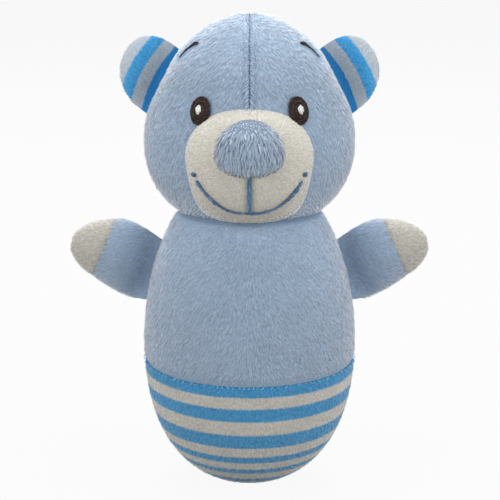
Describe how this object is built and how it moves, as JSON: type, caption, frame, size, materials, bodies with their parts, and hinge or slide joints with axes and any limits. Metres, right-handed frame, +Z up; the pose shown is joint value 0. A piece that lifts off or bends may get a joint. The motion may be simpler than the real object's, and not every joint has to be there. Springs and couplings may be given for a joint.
{
  "type": "plush teddy bear",
  "caption": "Legless plush bear with an egg-shaped body on a weighted base, a turning stuffed head with a raised muzzle, and floppy arms and ears.",
  "frame": {"origin": "centre of the flat that the bear stands on", "axes": "+Z up the body, -Y the way the bear faces, +X to the bear's own left"},
  "size_m": [0.1366, 0.0962, 0.18],
  "materials": {
    "blue_plush": "short-pile velour plush, dusty pale blue",
    "striped_plush": "short-pile velour plush in even bright-blue and off-white stripes",
    "cream_plush": "short-pile velour plush, off-white",
    "fibre_filling": "loose polyester fibre and raw cloth edges",
    "plastic_pellets": "plastic granules in a thin inner bag",
    "brown_thread": "dense satin-stitch embroidery, dark brown",
    "white_thread": "satin-stitch embroidery, white",
    "blue_thread": "stitched line of blue embroidery thread"
  },
  "bodies": {
    "torso": {"base_cover": "striped_plush", "body_cover": "blue_plush", "body_filling": "fibre_filling", "pellet_pouch": "plastic_pellets"},
    "neck": {"neck_seam": "fibre_filling"},
    "head": {"head_cover": "blue_plush", "head_filling": "fibre_filling", "muzzle_cover": "cream_plush", "nose_cover": "blue_plush", "nose_filling": "fibre_filling", "mouth_line": "blue_thread", "philtrum_line": "blue_thread", "eye_left": "brown_thread", "eye_right": "brown_thread", "eye_glint_left": "white_thread", "eye_glint_right": "white_thread", "brow_left": "brown_thread", "brow_right": "brown_thread"},
    "ear_left": {"ear_left_front": "striped_plush", "ear_left_back": "striped_plush"},
    "ear_right": {"ear_right_front": "striped_plush", "ear_right_back": "striped_plush"},
    "arm_left": {"arm_left_sleeve": "blue_plush", "arm_left_paw": "cream_plush", "arm_left_filling": "fibre_filling"},
    "arm_right": {"arm_right_sleeve": "blue_plush", "arm_right_paw": "cream_plush", "arm_right_filling": "fibre_filling"}
  },
  "joints": [
    {"name": "head_turn", "type": "hinge", "parent": "torso", "child": "neck", "pos_m": [0, 0, 0.084], "axis": [0, 0, 1], "range_deg": [-20, 20], "stiffness_Nm_per_rad": 0.1},
    {"name": "head_nod", "type": "hinge", "parent": "neck", "child": "head", "pos_m": [0, 0, 0.084], "axis": [1, 0, 0], "range_deg": [-8, 10], "stiffness_Nm_per_rad": 0.3},
    {"name": "ear_left_bend", "type": "hinge", "parent": "head", "child": "ear_left", "pos_m": [0.03356, 0.004, 0.155], "axis": [0.4476, 0, -0.8943], "range_deg": [-30, 30], "stiffness_Nm_per_rad": 0.004},
    {"name": "ear_right_bend", "type": "hinge", "parent": "head", "child": "ear_right", "pos_m": [-0.03356, 0.004, 0.155], "axis": [0.4476, 0, 0.8943], "range_deg": [-30, 30], "stiffness_Nm_per_rad": 0.004},
    {"name": "arm_left_swing", "type": "hinge", "parent": "torso", "child": "arm_left", "pos_m": [0.03687, 0, 0.083], "axis": [0.2554, 0, -0.9668], "range_deg": [-40, 40], "stiffness_Nm_per_rad": 0.03},
    {"name": "arm_right_swing", "type": "hinge", "parent": "torso", "child": "arm_right", "pos_m": [-0.03687, 0, 0.083], "axis": [0.2554, 0, 0.9668], "range_deg": [-40, 40], "stiffness_Nm_per_rad": 0.03}
  ]
}
